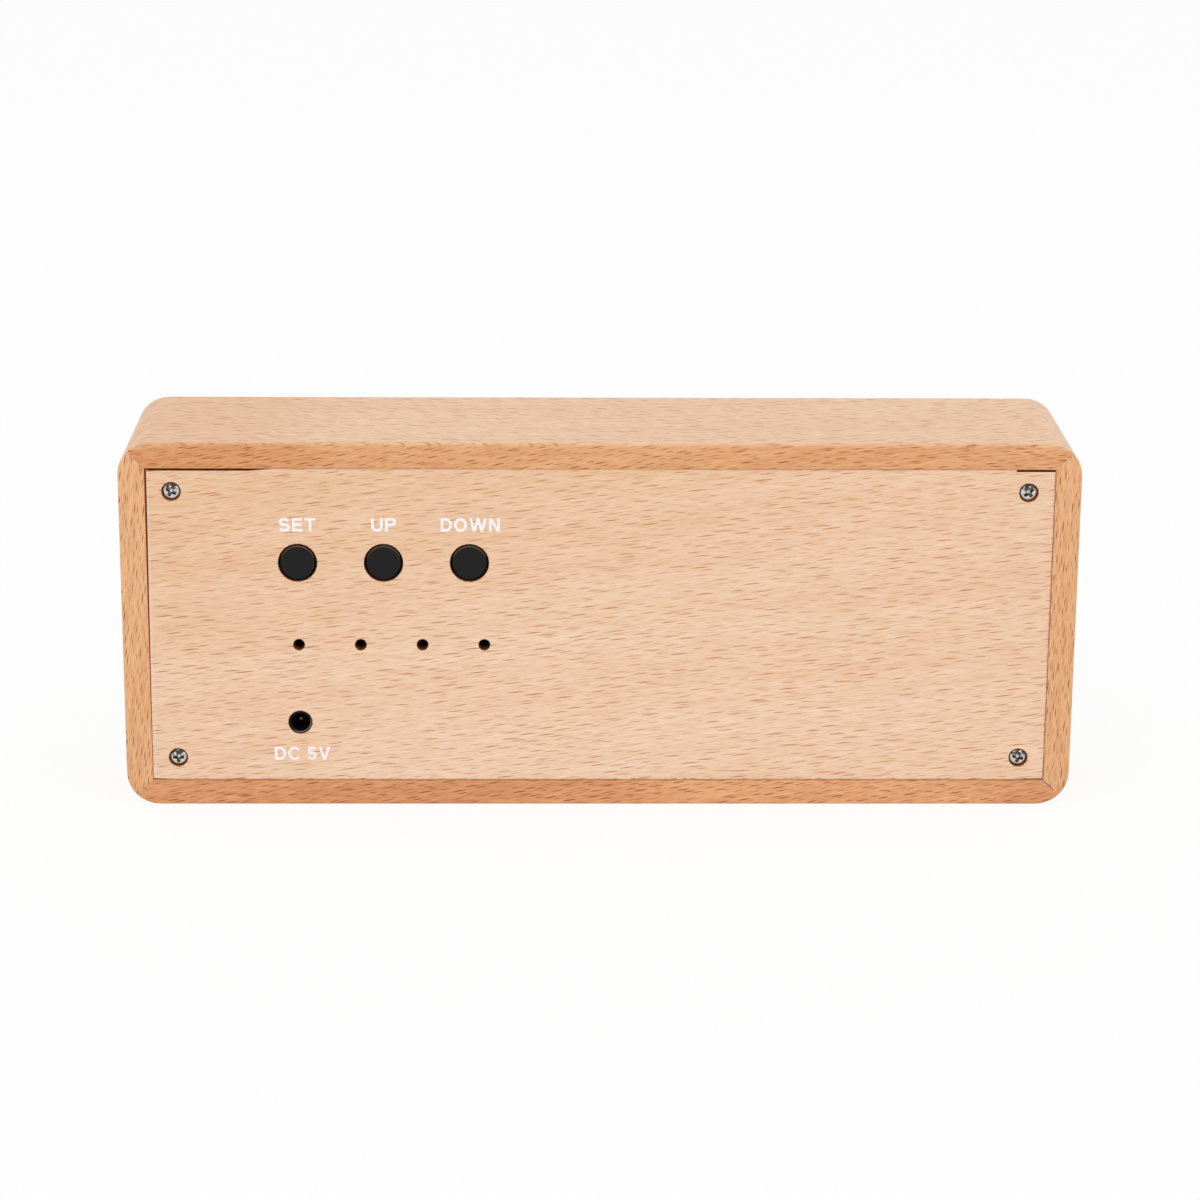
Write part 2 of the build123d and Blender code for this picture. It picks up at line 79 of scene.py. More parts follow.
class Finish:
    """A surface finish, laid out as shader nodes."""

    def __init__(self, name, roughness=0.5, **constants):
        self.material = bpy.data.materials.new(name)
        self.material.use_nodes = True
        self.tree = self.material.node_tree
        self.surface = self.tree.nodes["Principled BSDF"]
        self.set("Roughness", roughness)
        for socket, value in constants.items():
            self.set(socket.replace("_", " "), value)

    def feed(self, socket, value):
        if isinstance(value, bpy.types.NodeSocket):
            self.tree.links.new(value, socket)
        else:
            socket.default_value = value

    def set(self, socket, value):
        self.feed(self.surface.inputs[socket], value)

    def add(self, kind, *values, **settings):
        node = self.tree.nodes.new(kind)
        for key, value in settings.items():
            setattr(node, key, value)
        for socket, value in zip(node.inputs, values):
            self.feed(socket, value)
        return node

    def sum(self, operation, *values):
        return self.add("ShaderNodeMath", *values, operation=operation).outputs[0]

    def move(self, operation, *values):
        return self.add("ShaderNodeVectorMath", *values, operation=operation).outputs[0]

    def measure(self, operation, *values):
        """A length, a distance or a dot product."""
        return self.add("ShaderNodeVectorMath", *values, operation=operation).outputs[1]

    def axes(self, vector):
        return self.add("ShaderNodeSeparateXYZ", vector).outputs

    def point(self, x, y, z):
        return self.add("ShaderNodeCombineXYZ", x, y, z).outputs[0]

    def millimetres(self):
        place = self.add("ShaderNodeTexCoord").outputs["Object"]
        return self.move("MULTIPLY", place, (1000, 1000, 1000))

    def facing(self, axis, normal="Normal"):
        """How far the surface faces along an axis, from -1 to 1."""
        return self.axes(self.add("ShaderNodeNewGeometry").outputs[normal])[axis]

    def noise(self, place, detail=2.0):
        node = self.add("ShaderNodeTexNoise")
        self.feed(node.inputs["Vector"], place)
        node.inputs["Scale"].default_value = 1.0
        node.inputs["Detail"].default_value = detail
        return node.outputs[0]

    def cloud(self, size, detail=2.0):
        """Soft noise with lumps of about one size, in millimetres."""
        return self.noise(self.move("DIVIDE", self.millimetres(), (size, size, size)), detail)

    def step(self, value, low, high, start=0.0, end=1.0):
        """A smooth rise from one level to another as a value goes from low to high."""
        node = self.add("ShaderNodeMapRange", value, low, high, start, end,
                        interpolation_type="SMOOTHSTEP")
        return node.outputs[0]

    def blend(self, share, first, second):
        node = self.add("ShaderNodeMix", data_type="RGBA")
        for index, value in ((0, share), (6, first), (7, second)):
            self.feed(node.inputs[index], value)
        return node.outputs[2]

    def base(self):
        """The colour that feeds the surface so far."""
        return self.surface.inputs["Base Color"].links[0].from_socket

    def relief(self, height, depth, strength=1.0):
        node = self.add("ShaderNodeBump")
        node.inputs["Strength"].default_value = strength
        node.inputs["Distance"].default_value = depth
        self.feed(node.inputs["Height"], height)
        self.set("Normal", node.outputs[0])


def dress(finish, *names):
    """Gives the frame's nodes a finish."""
    for name in names:
        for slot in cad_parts[name].material_slots:
            slot.material = finish.material


drift_lengths = (38.0, 24.0, 15.0)
swing_start = 32.0
swing_length = 45.0
run_between_boards = 41.0
depth_between_boards = 17.0
golden_share = 0.618
row_slide = 0.3
ray_taper = 1.5
ray_slimness = 1.5
ray_soft_edge = 0.55
pore_depth = 0.00003
pore_strength = 0.35


class Beech(Finish):
    """Beech, with its places measured along and across the grain in millimetres."""

    def __init__(self, name, along, seed, lean=0.0, wander=1.5, roughness=0.45):
        super().__init__(name, roughness, Specular_IOR_Level=0.3)
        self.spot = self.millimetres()
        x, y, z = self.axes(self.spot)
        run, rise = (x, z) if along == "X" else (z, x)
        place = self.move("DIVIDE", self.point(run, y, rise), drift_lengths)
        slow = self.noise(self.move("ADD", place, (0.0, 0.0, seed)))
        drift = self.sum("MULTIPLY_ADD", slow, wander, self.sum("MULTIPLY", run, lean))
        past_start = self.sum("SUBTRACT", run, swing_start)
        rise = self.sum("ADD", rise, drift)
        self.way = run
        self.swing = self.sum("SINE", self.sum("DIVIDE", past_start, swing_length))
        self.run = self.sum("ADD", run, run_between_boards * seed)
        self.spread = self.sum("ADD", rise, y)
        self.sideways = self.sum("ADD", y, drift)
        self.grain = self.point(self.run, self.sum("ADD", y, depth_between_boards * seed), rise)

    def streaks(self, length, width, detail=2.0):
        """A value from 0 to 1 that runs in streaks along the grain."""
        return self.noise(self.move("DIVIDE", self.grain, (length, width, width)), detail)

    def rays(self, length, width, small, large, kept, shift=0.0, swing=0.0, spread=None):
        """The short dark rays of beech: pointed spots in staggered rows along the grain."""
        spread = self.spread if spread is None else spread
        swung = self.sum("MULTIPLY_ADD", self.swing, swing, spread)
        across = self.sum("ADD", self.sum("DIVIDE", swung, width), shift)
        row = self.sum("FLOOR", across)
        slide = self.add("ShaderNodeTexWhiteNoise", noise_dimensions="1D")
        self.feed(slide.inputs["W"], row)
        along = self.sum("DIVIDE", self.run, length)
        along = self.sum("MULTIPLY_ADD", slide.outputs["Value"], row_slide, along)
        along = self.sum("MULTIPLY_ADD", row, golden_share, along)
        cell = self.add("ShaderNodeTexWhiteNoise", noise_dimensions="2D")
        self.feed(cell.inputs["Vector"], self.point(self.sum("FLOOR", along), row, 0.0))
        size, depth, sway = self.axes(cell.outputs["Color"])

        def off_centre(value, chance, slim):
            loose = 1.0 - 2.0 * large / slim
            centred = self.sum("SUBTRACT", self.sum("FRACT", value), 0.5 + loose / 2)
            away = self.sum("ABSOLUTE", self.sum("MULTIPLY_ADD", chance, loose, centred))
            return self.sum("POWER", self.sum("MULTIPLY", away, slim), ray_taper)

        away = self.sum("ADD", off_centre(along, cell.outputs["Value"], 1.0),
                        off_centre(across, sway, ray_slimness))
        reach = self.sum("MULTIPLY_ADD", size, large - small, small)
        reach = self.sum("POWER", reach, ray_taper)
        body = self.step(self.sum("DIVIDE", away, reach), 1.0, ray_soft_edge)
        return self.sum("MULTIPLY", body, self.step(depth, 1.0 - kept, 1.0))

    def sanded(self, fibre, rays, smooth=0.38, rough=0.5):
        """Gives the gloss and the fine relief of sanded wood."""
        self.set("Roughness", self.step(fibre, 0.2, 0.8, smooth, rough))
        self.relief(self.sum("SUBTRACT", fibre, rays), pore_depth, pore_strength)


top_round = 1.1
gap_reach = 0.7
joint_start = 3.2
joint_end = 7.0
joint_half_width = 0.24


def sawn_share(wood):
    """1 on the sawn edges at the front and back of the case, 0 on its other faces."""
    _, high = cad_box
    from_top = wood.sum("SUBTRACT", 1000.0 * high.z, wood.axes(wood.spot)["Z"])
    sawn = wood.step(wood.sum("ABSOLUTE", wood.facing("Y")), 0.2, 0.9)
    return wood.sum("MULTIPLY", sawn, wood.step(from_top, 0.0, top_round, 0.45, 1.0))


def off_panel(wood):
    """How far each place is outside the edge of the back panel."""
    low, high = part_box("back_panel")
    x, _, z = wood.axes(wood.spot)
    beside = wood.sum("SUBTRACT", wood.sum("ABSOLUTE", x), 1000.0 * high.x)
    over = wood.sum("SUBTRACT", z, 500.0 * (high.z + low.z))
    over = wood.sum("SUBTRACT", wood.sum("ABSOLUTE", over), 500.0 * (high.z - low.z))
    return wood.sum("MAXIMUM", beside, over)


def painted_gap_line(wood):
    """1 along the opening for the back panel: the painted shade of the gap, a painted highlight on the
    right board.
    """
    width = wood.step(wood.cloud(2.5), 0.3, 0.7, 0.12, 0.4)
    return wood.step(wood.sum("DIVIDE", off_panel(wood), width), 1.0, 0.3)


def painted_glow_in_gap(wood):
    """1 on the walls of the narrow gap round the panel, where a glow is painted in to light them."""
    low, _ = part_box("back_panel")
    wall = wood.step(wood.sum("ABSOLUTE", wood.facing("Y", "True Normal")), 0.5, 0.2)
    beside_panel = wood.sum("GREATER_THAN", wood.axes(wood.spot)["Y"], 1000.0 * low.y)
    near_panel = wood.sum("LESS_THAN", off_panel(wood), gap_reach)
    return wood.sum("MULTIPLY", wall, wood.sum("MULTIPLY", beside_panel, near_panel))


def open_joint(wood):
    """1 along the inner half of the lower right mitre, where the glue has shrunk."""
    low, _ = cad_box
    x, _, z = wood.axes(wood.spot)
    from_side = wood.sum("SUBTRACT", x, 1000.0 * low.x)
    off_line = wood.sum("ABSOLUTE", wood.sum("SUBTRACT", from_side, z))
    begun = wood.step(from_side, joint_start, joint_start + 0.4)
    inner_half = wood.sum("MULTIPLY", begun, wood.step(from_side, joint_end, joint_end - 1.0))
    return wood.sum("MULTIPLY", wood.step(off_line, joint_half_width, 0.1), inner_half)


fibre_length = 12.0
fibre_width = 0.3
stretch_fade = 12.0
fine_share = 0.8
flat_beech = (linear(238, 200, 165), linear(226, 180, 138), linear(163, 97, 49))
top_sawn = (linear(229, 176, 128), linear(212, 146, 95), linear(150, 76, 26))
bottom_sawn = (linear(236, 179, 131), linear(212, 148, 101), linear(144, 70, 24))
upright_sawn = (linear(234, 183, 136), linear(218, 158, 107), linear(141, 69, 15))
# Painted tones for the line along the gap round the back panel: shade, and a highlight for the right
# board.
painted_gap_shade = linear(138, 80, 46)
painted_gap_highlight = linear(236, 156, 96)
joint_glue = linear(104, 58, 32)
painted_glow_colour = (1.0, 0.24, 0.04, 1.0)


def case_finish(name, along, seed, lean, flat_rays, sawn_rays, pale_stretch,
                sawn_tones, painted_gap_tone, painted_glow_strength):
    """The wood of one board. Its rays are given by length, width of their rows and swing, and
    its pale stretch by the middle and half of its length."""
    wood = Beech(name, along, seed, lean)
    middle, half = pale_stretch
    off_stretch = wood.sum("ABSOLUTE", wood.sum("SUBTRACT", wood.way, middle))
    ends = wood.step(off_stretch, half - stretch_fade, half + stretch_fade, 0.0, 0.4)
    bands = wood.sum("ADD", wood.step(wood.streaks(150.0, 7.0), 0.3, 0.7, 0.0, 0.3), ends)
    mottle = wood.step(wood.streaks(4.5, 0.8, 3.0), 0.35, 0.65, 0.0, 0.4)
    tone = wood.sum("ADD", bands, mottle)
    fibre = wood.streaks(fibre_length, fibre_width, 3.0)
    length, width, swing = flat_rays
    rays = wood.rays(length, width, 0.15, 0.3, 1.2, 0.0, swing, wood.sideways)
    length, width, swing = sawn_rays
    coarse = wood.rays(length, width, 0.18, 0.36, 1.4, 5.3, swing)
    fine = wood.rays(fine_share * length, fine_share * width, 0.18, 0.34, 1.0, 9.1, swing)

    def toned(tones, marks):
        pale, deep, dark = tones
        ground = wood.blend(tone, pale, deep)
        ground = wood.blend(wood.sum("MULTIPLY", fine, 0.3), ground, dark)
        ground = wood.blend(wood.step(fibre, 0.35, 0.75, 0.0, 0.22), ground, dark)
        return wood.blend(marks, ground, dark)

    flat = toned(flat_beech, rays)
    edge = toned(sawn_tones, coarse)
    # A line is painted along the opening in the board's gap tone: painted shade on three boards, a
    # painted highlight on the right one.
    edge = wood.blend(wood.sum("MULTIPLY", painted_gap_line(wood), 0.55), edge, painted_gap_tone)
    edge = wood.blend(wood.sum("MULTIPLY", open_joint(wood), 0.7), edge, joint_glue)
    wood.set("Base Color", wood.blend(sawn_share(wood), flat, edge))
    wood.sanded(fibre, rays)
    # The gap walls get a painted orange glow, an emission that stands in for light in the gap.
    wood.set("Emission Color", painted_glow_colour)
    wood.set("Emission Strength", wood.sum("MULTIPLY", painted_glow_in_gap(wood), painted_glow_strength))
    return wood


boards = {
    "top_board": dict(
        along="X", seed=1.0, lean=0.12, flat_rays=(7.0, 1.15, 14.5), sawn_rays=(5.0, 0.6, 3.5),
        pale_stretch=(-21.0, 83.0), sawn_tones=top_sawn, painted_gap_tone=painted_gap_shade, painted_glow_strength=0.06),
    "bottom_board": dict(
        along="X", seed=2.3, lean=0.16, flat_rays=(6.0, 1.0, 0.0), sawn_rays=(5.0, 0.6, 0.0),
        pale_stretch=(-48.0, 36.0), sawn_tones=bottom_sawn, painted_gap_tone=painted_gap_shade, painted_glow_strength=0.0),
    "left_board": dict(
        along="Z", seed=3.1, lean=0.063, flat_rays=(5.4, 0.9, 0.0), sawn_rays=(4.6, 0.55, 0.0),
        pale_stretch=(40.0, 50.0), sawn_tones=upright_sawn, painted_gap_tone=painted_gap_shade, painted_glow_strength=0.04),
    "right_board": dict(
        along="Z", seed=4.7, lean=0.13, flat_rays=(5.4, 0.9, 0.0), sawn_rays=(4.6, 0.55, 0.0),
        pale_stretch=(40.0, 50.0), sawn_tones=upright_sawn, painted_gap_tone=painted_gap_highlight, painted_glow_strength=0.11)}
for board, facts in boards.items():
    dress(case_finish(board + "_beech", **facts), board)


# Square posts in the inner corners and two battens behind the back panel, all of plain
# sawn pine. Glue holds them to the boards and to the panel.

pine_rough = 0.00008

pine = Beech("sawn_pine", "Z", 6.2, wander=2.0, roughness=0.7)
pine_rings = pine.step(pine.streaks(90.0, 1.6), 0.35, 0.65)
pine.set("Base Color", pine.blend(pine_rings, linear(226, 190, 142), linear(201, 152, 99)))
pine.relief(pine.streaks(6.0, 0.3, 3.0), pine_rough, 0.5)
dress(pine, "corner_posts", "key_battens")


# The face is a thin sheet of beech veneer. The lamps behind it shine through the wood, so
# the figures show only where they are lit, with soft edges and the grain over them.

digit_height = 34.0
digit_width = 18.0
digit_pitch = 26.0
colon_width = 12.0
colon_dot_radius = 2.0
colon_dot_rise = 6.0
segment_width = 3.6
segment_gap = 0.9
glow_edge = 0.45
glow_strength = 0.75
glow_lost_in_rays = 0.4
lamp_white = (1.0, 0.96, 0.88, 1.0)
sheet_rays = (8.0, 0.66, 0.14, 0.32, 1.3)
never = 99.0


def lit_figures(wood):
    """How much each place of the face glows, for the time 10:08."""
    def apart(value, centre):
        return wood.sum("ABSOLUTE", wood.sum("SUBTRACT", value, centre))

    def bar(over, off_middle, half_length):
        thin = wood.sum("SUBTRACT", over, segment_width / 2)
        point = wood.sum("SUBTRACT", wood.sum("ADD", over, off_middle), half_length)
        return wood.sum("MAXIMUM", thin, point)

    def only(distance, start):
        off = wood.sum("LESS_THAN", x, start)
        return wood.sum("MULTIPLY_ADD", off, never, distance)

    low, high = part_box("front_veneer")
    x, _, z = wood.axes(wood.spot)
    inner = (digit_pitch + colon_width) / 2
    height = apart(z, 500.0 * (low.z + high.z))
    side = apart(wood.sum("ABSOLUTE", x), inner + digit_pitch / 2)
    across = apart(side, digit_pitch / 2)
    pen_width = (digit_width - segment_width) / 2
    pen_height = (digit_height - segment_width) / 2
    level_length = pen_width - segment_gap / 2
    upright_length = pen_height / 2 - segment_gap / 2
    upright = only(bar(apart(across, pen_width), apart(height, pen_height / 2), upright_length),
                   -inner - digit_pitch)
    ends = only(bar(apart(height, pen_height), across, level_length), -inner - digit_pitch / 2)
    middle = only(bar(height, across, level_length), inner + digit_pitch / 2)
    centre = wood.point(x, apart(height, colon_dot_rise), 0.0)
    dot = wood.sum("SUBTRACT", wood.measure("LENGTH", centre), colon_dot_radius)
    nearest = wood.sum("MINIMUM", upright, ends)
    nearest = wood.sum("MINIMUM", nearest, wood.sum("MINIMUM", middle, dot))
    return wood.step(nearest, glow_edge, -glow_edge)


veneer = Beech("face_veneer", "X", 8.4, 0.03)
veneer_rays = veneer.rays(*sheet_rays)
veneer_bands = veneer.step(veneer.streaks(170.0, 9.0), 0.3, 0.7)
veneer_fibre = veneer.streaks(14.0, 0.22, 3.0)
veneer_dark = linear(200, 146, 104)
veneer_ground = veneer.blend(veneer_bands, linear(235, 198, 166), linear(229, 187, 152))
veneer_lines = veneer.step(veneer_fibre, 0.35, 0.75, 0.0, 0.14)
veneer_ground = veneer.blend(veneer_lines, veneer_ground, veneer_dark)
veneer.set("Base Color", veneer.blend(veneer_rays, veneer_ground, veneer_dark))
veneer.sanded(veneer_fibre, veneer_rays)
veneer_glow = veneer.sum("MULTIPLY_ADD", veneer_rays, -glow_lost_in_rays, glow_strength)
veneer.set("Emission Color", lamp_white)
veneer.set("Emission Strength", veneer.sum("MULTIPLY", lit_figures(veneer), veneer_glow))
dress(veneer, "front_veneer")


# Behind the veneer lies a milky film that spreads the light, and behind that a moulded
# white mask with one funnel for each lamp.


def moulded(name, colour, roughness, speckle=0.06):
    """Moulded plastic: a fine even grain, with the colour a little lighter in broad random clouds and,
    as a painted highlight, on the peaks of the grain.
    """
    plastic = Finish(name, roughness)
    grain = plastic.cloud(0.12)
    cloud = plastic.cloud(4.0)
    lighter = tuple(min(1.0, level * 1.25 + 0.004) for level in colour[:3]) + (1.0,)
    tone = plastic.sum("MULTIPLY_ADD", grain, 0.5, plastic.sum("MULTIPLY", cloud, 0.5))
    plastic.set("Base Color", plastic.blend(tone, colour, lighter))
    plastic.set("Roughness", plastic.step(cloud, 0.2, 0.8, roughness - 0.06, roughness + 0.06))
    plastic.relief(grain, 0.00002, speckle)
    return plastic


dress(moulded("milky_film", linear(226, 226, 222), 0.4), "diffuser_sheet")
dress(moulded("white_moulding", linear(222, 221, 215), 0.55), "segment_mask")


# Two circuit boards: the display board behind the mask and the key board behind the back
# panel. Both are glass laminate under green lacquer, with copper tracks below it.

track_length = 9.0
track_pitch = 3.0
track_share = 0.03
track_height = 0.00004

lacquer = Finish("green_lacquer", 0.32)
lacquer_x, _, lacquer_z = lacquer.axes(lacquer.millimetres())
track_x = lacquer.sum("DIVIDE", lacquer_x, track_length)
track_z = lacquer.sum("DIVIDE", lacquer_z, track_pitch)
tracks = lacquer.add("ShaderNodeTexBrick", offset=0.5)
lacquer.feed(tracks.inputs["Vector"], lacquer.point(track_x, track_z, 0.0))
tracks.inputs["Scale"].default_value = 1.0
tracks.inputs["Mortar Size"].default_value = track_share
on_track = tracks.outputs["Fac"]
lacquer_ground = lacquer.blend(lacquer.cloud(0.5), linear(22, 84, 44), linear(31, 99, 55))
lacquer.set("Base Color", lacquer.blend(on_track, lacquer_ground, linear(48, 122, 68)))
lacquer.relief(on_track, track_height, 0.6)
dress(lacquer, "display_board", "key_board")


# Small parts soldered to the display board: lamps, the clock chip, its crystal, a filter
# capacitor, and a standby cell in a holder under a tin clip.


def sheet_metal(name, colour, roughness, scratch=0.5):
    """Drawn or plated metal with faint scratches that run one way."""
    metal = Finish(name, roughness, Metallic=1.0)
    brushed = metal.noise(metal.move("DIVIDE", metal.millimetres(), (3.0, 0.08, 0.08)), 3.0)
    darker = tuple(level * 0.8 for level in colour[:3]) + (1.0,)
    metal.set("Base Color", metal.blend(metal.cloud(1.2), colour, darker))
    metal.set("Roughness", metal.step(brushed, 0.2, 0.8, roughness - 0.08, roughness + 0.08))
    metal.relief(brushed, 0.00001, scratch)
    return metal


dress(moulded("lamp_lens", linear(240, 236, 214), 0.3), "segment_leds")
dress(moulded("chip_resin", linear(36, 36, 38), 0.6), "clock_chip")
dress(sheet_metal("drawn_aluminium", linear(200, 202, 204), 0.3), "filter_capacitor")
dress(sheet_metal("cell_steel", linear(206, 204, 198), 0.25), "coin_cell")
dress(moulded("holder_plastic", linear(30, 30, 31), 0.5), "cell_holder")
dress(sheet_metal("tinned_metal", linear(212, 210, 203), 0.3), "cell_clip", "crystal_can")


# Three push switches under the buttons: a moulded square case, a tan plunger and a snap
# dome of thin steel that gives the click.

keys = ("set", "up", "down")
dome_thickness = 0.0001
dome_rim_width = 0.00025
dome_bow = (0, 0.3, 0.6, 0.85, 1)
turn_steps = 72
smooth_angle = radians(32)


def turned(name, x, z, profile):
    """A closed body spun about a line along Y, from its radius and depth at each step."""
    shape = bmesh.new()
    rows = []
    for radius, depth in profile:
        if radius == 0:
            rows.append([shape.verts.new((x, depth, z))])
            continue
        rows.append([
            shape.verts.new((x + radius * cos(turn), depth, z + radius * sin(turn)))
            for turn in (2 * pi * i / turn_steps for i in range(turn_steps))])
    for first, second in zip(rows, rows[1:]):
        for i in range(turn_steps):
            j = (i + 1) % turn_steps
            ring = [first[i % len(first)], first[j % len(first)]]
            ring += [second[j % len(second)], second[i % len(second)]]
            shape.faces.new(list(dict.fromkeys(ring)))
    bmesh.ops.recalc_face_normals(shape, faces=shape.faces)
    mesh = bpy.data.meshes.new(name)
    shape.to_mesh(mesh)
    shape.free()
    mesh.polygons.foreach_set("use_smooth", [True] * len(mesh.polygons))
    mesh.set_sharp_from_angle(angle=smooth_angle)
    piece = bpy.data.objects.new(name, mesh)
    bpy.context.scene.collection.objects.link(piece)
    return piece


dress(moulded("switch_case", linear(34, 34, 36), 0.5), *(key + "_switch" for key in keys))
dress(moulded("plunger_tan", linear(176, 138, 92), 0.45), *(key + "_plunger" for key in keys))
spring_steel = sheet_metal("spring_steel", linear(196, 198, 200), 0.22)
for key in keys:
    low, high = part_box(key + "_dome")
    x = (low.x + high.x) / 2
    z = (low.z + high.z) / 2
    rim = (high.x - low.x) / 2
    rise = high.y - low.y
    profile = [(rim * share, low.y + rise * (1 - share ** 2)) for share in dome_bow]
    inner_rim = rim - dome_rim_width
    inner_rise = rise - dome_thickness
    profile += [(inner_rim * share, low.y + inner_rise * (1 - share ** 2))
                for share in reversed(dome_bow)]
    dome = turned(key + "_snap_dome", x, z, profile)
    dome.data.materials.append(spring_steel.material)
    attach(dome, "case")
    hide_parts(key + "_dome")
    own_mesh(dome)


# The buzzer is a black cup with a port in its roof and a brass disc inside. It stands
# behind the row of sound holes.

dress(moulded("buzzer_black", linear(24, 24, 25), 0.5), "buzzer_case")
dress(sheet_metal("brass_disc", linear(206, 168, 92), 0.28), "buzzer_disc")


# A flat ribbon cable joins the two boards, with a cream socket at each end. Its wires show
# as ridges along it.

wire_pitch = 1.27
ridge_height = 0.0002

ribbon = Finish("ribbon_vinyl", 0.45)
ribbon_across = ribbon.axes(ribbon.millimetres())[0]
ribbon_ridges = ribbon.sum("SINE", ribbon.sum("MULTIPLY", ribbon_across, 2 * pi / wire_pitch))
# The crests of the ridges are painted lighter and the grooves between them darker: painted light and
# shade.
ridge_light_and_shade = ribbon.step(ribbon_ridges, -1.0, 1.0)
ribbon.set("Base Color", ribbon.blend(ridge_light_and_shade, linear(120, 122, 126), linear(150, 152, 156)))
ribbon.relief(ribbon_ridges, ridge_height, 0.8)
dress(ribbon, "ribbon_cable")
dress(moulded("socket_cream", linear(224, 216, 196), 0.5), "display_socket", "key_socket")


# The power socket is a moulded black block on the key board. Its round nose stands in the
# panel's hole, with a plated pin in the bore and a spring contact beside it. A grey highlight
# is painted on the lower right of its rim.

highlight_rim_radius = 2.24
highlight_half_width = 0.14
towards_lower_right = (-0.6, 0.0, -0.8)


def centre_of(node):
    """The middle of a node across the panel, in millimetres."""
    low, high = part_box(node)
    return 500.0 * (low.x + high.x), 500.0 * (low.z + high.z)


socket_black = moulded("socket_black", linear(9, 9, 9), 0.5)
socket_black.set("Specular IOR Level", 0.12)
socket_x, socket_z = centre_of("jack_body")
from_socket = socket_black.move("SUBTRACT", socket_black.millimetres(), (socket_x, 0.0, socket_z))
from_socket = socket_black.move("MULTIPLY", from_socket, (1.0, 0.0, 1.0))
rim_away = socket_black.sum("SUBTRACT", socket_black.measure("LENGTH", from_socket), highlight_rim_radius)
on_rim = socket_black.step(socket_black.sum("ABSOLUTE", rim_away), highlight_half_width, 0.0)
lower_right = socket_black.measure("DOT_PRODUCT", from_socket, towards_lower_right)
# Painted highlight: a grey arc on the lower right of the nose's rim.
rim_highlight = socket_black.sum("MULTIPLY", on_rim, socket_black.step(lower_right, 0.2, 1.6, 0.0, 0.8))
socket_black.set("Base Color", socket_black.blend(rim_highlight, socket_black.base(), linear(158, 144, 134)))
dress(socket_black, "jack_body")
dress(sheet_metal("dull_pin", linear(112, 98, 86), 0.45), "jack_pin", "jack_contact")


# The back panel is a thin beech board let into the case and held by four screws. It was cut
# with heat, so its edges are brown and a scorched line runs round each hole.

panel_low, panel_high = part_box("back_panel")
screws_low, screws_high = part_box("back_screws")
sound_hole_count = 4
sound_hole_pitch = 12.95
sound_row_drop = 17.85
sound_hole_radius = 1.2
button_hole_radius = 4.05
counterbore_radius = 1.97
screw_head_radius = 1.65
socket_hole_radius = 2.5
scorch_width = 0.24

set_x, button_z = centre_of("set_button")
holes = [(*centre_of(key + "_button"), button_hole_radius) for key in keys]
holes += [(set_x - i * sound_hole_pitch, button_z - sound_row_drop, sound_hole_radius)
          for i in range(sound_hole_count)]
holes += [(*centre_of("jack_body"), socket_hole_radius)]
counterbores = [
    (x, z, counterbore_radius)
    for x in (1000.0 * screws_low.x + screw_head_radius, 1000.0 * screws_high.x - screw_head_radius)
    for z in (1000.0 * screws_low.z + screw_head_radius, 1000.0 * screws_high.z - screw_head_radius)]

panel_growth = ("X", 11.3, 0.107, 1.8)
middle_rays = (6.2, 0.56, 0.16, 0.34, 1.2, 3.7)
fine_rays = (4.6, 0.46, 0.18, 0.36, 1.0, 7.9)
panel_pale = linear(240, 211, 185)
panel_deep = linear(227, 185, 146)
panel_dark = linear(186, 122, 68)
scorched = linear(104, 62, 36)
hole_wall = linear(108, 64, 38)
cut_edge = linear(140, 82, 46)
drilled_wood = linear(190, 118, 72)
painted_edge_highlight = linear(235, 216, 204)
burnt_edge = linear(146, 82, 42)

panel = Beech("panel_beech", *panel_growth)
panel_x, _, panel_z = panel.axes(panel.spot)
panel_flat = panel.point(panel_x, panel_z, 0.0)
panel_bands = panel.step(panel.streaks(160.0, 8.0), 0.3, 0.7, 0.0, 0.25)
panel_mottle = panel.step(panel.streaks(4.5, 0.9, 3.0), 0.35, 0.65, 0.0, 0.27)
panel_tone = panel.sum("ADD", panel_bands, panel_mottle)
panel_tone = panel.sum("ADD", panel_tone, panel.step(panel_z, 8.0, 72.0, 0.0, 0.35))
panel_tone = panel.sum("ADD", panel_tone, panel.step(panel_x, 40.0, 92.0, 0.0, 0.16))
panel_fibre = panel.streaks(fibre_length, fibre_width, 3.0)
panel_rays = panel.rays(*sheet_rays)
panel_middle = panel.rays(*middle_rays)
panel_fine = panel.rays(*fine_rays)
panel_ground = panel.blend(panel_tone, panel_pale, panel_deep)
panel_ground = panel.blend(panel.step(panel_fibre, 0.35, 0.75, 0.0, 0.17), panel_ground, panel_dark)
panel_ground = panel.blend(panel.sum("MULTIPLY", panel_fine, 0.15), panel_ground, panel_dark)
panel_ground = panel.blend(panel.sum("MULTIPLY", panel_middle, 0.4), panel_ground, panel_dark)
panel_wood = panel.blend(panel_rays, panel_ground, panel_dark)


def from_holes(places):
    """How far each spot of the panel is from the edge of the nearest of these holes."""
    nearest = never
    for hole_x, hole_z, radius in places:
        away = panel.measure("DISTANCE", panel_flat, (hole_x, hole_z, 0.0))
        nearest = panel.sum("MINIMUM", panel.sum("SUBTRACT", away, radius), nearest)
    return nearest


countersunk = from_holes(counterbores)
burnt = panel.sum("MINIMUM", countersunk, from_holes(holes))
ragged = panel.step(panel.cloud(0.45, 3.0), 0.3, 0.7, 0.06, scorch_width)
scorch = panel.step(panel.sum("DIVIDE", burnt, ragged), 1.0, 0.2)
panel_wood = panel.blend(panel.sum("MULTIPLY", scorch, 0.8), panel_wood, scorched)
panel_wood = panel.blend(panel.step(burnt, 0.05, -0.05), panel_wood, hole_wall)
panel_cut = panel.step(panel.sum("ABSOLUTE", panel.facing("Y", "True Normal")), 0.7, 0.3)
panel_wood = panel.blend(panel_cut, panel_wood, cut_edge)
panel_wood = panel.blend(panel.step(countersunk, 0.02, -0.02), panel_wood, drilled_wood)

